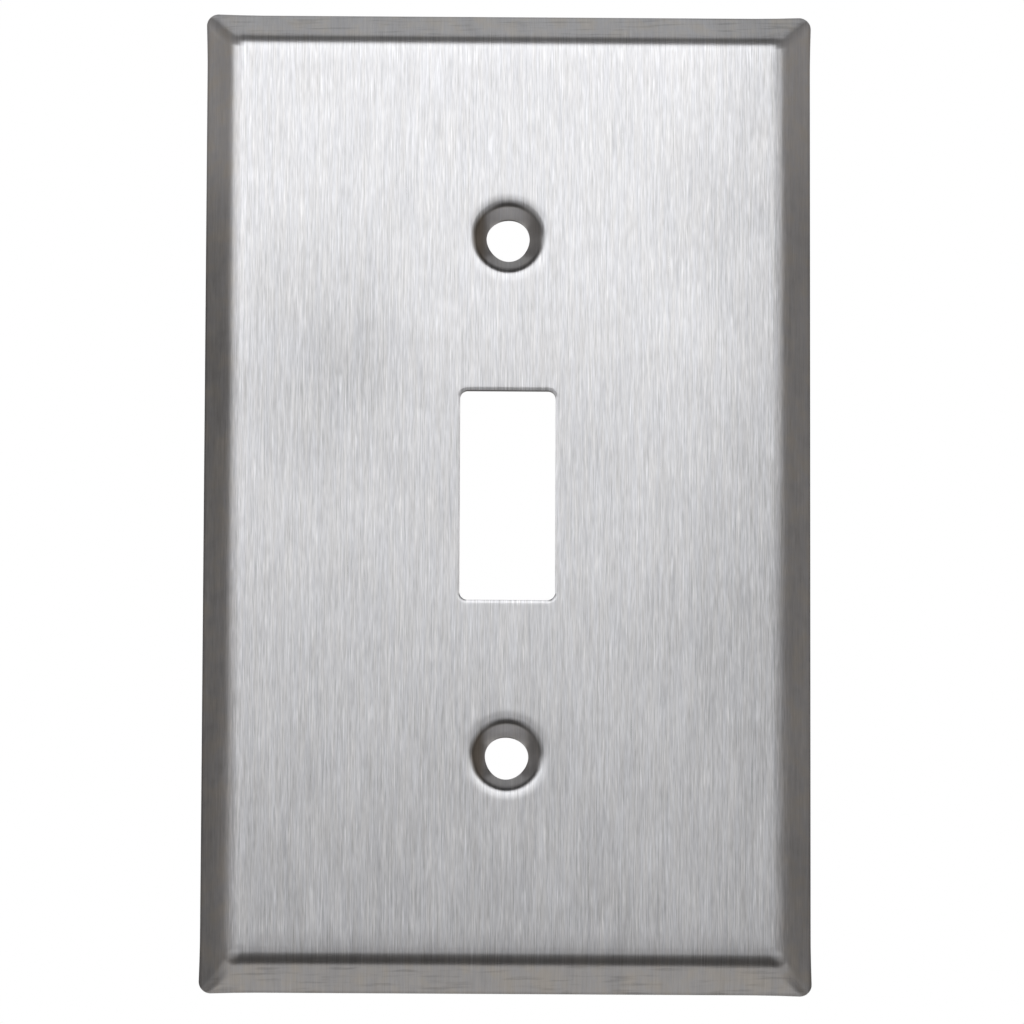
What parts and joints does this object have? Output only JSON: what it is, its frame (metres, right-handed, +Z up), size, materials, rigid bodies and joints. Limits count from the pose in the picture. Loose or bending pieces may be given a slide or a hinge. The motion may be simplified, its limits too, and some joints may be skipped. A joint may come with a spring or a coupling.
{
  "type": "toggle switch wall plate",
  "caption": "Flat cover plate of pressed sheet steel for a toggle switch, with a bevelled border, a slot for the lever and dimpled screw holes.",
  "frame": {"origin": "middle of the plate's outline, on the plane of the wall that its rim rests on", "axes": "+Z up the wall along the plate's height, +X to the right, +Y into the wall; the face looks along -Y"},
  "size_m": [0.0698, 0.0045, 0.1142],
  "materials": {
    "brushed_stainless": "satin, brushed along the plate's height"
  },
  "bodies": {
    "root": {"wall_plate": "brushed_stainless"}
  },
  "joints": []
}
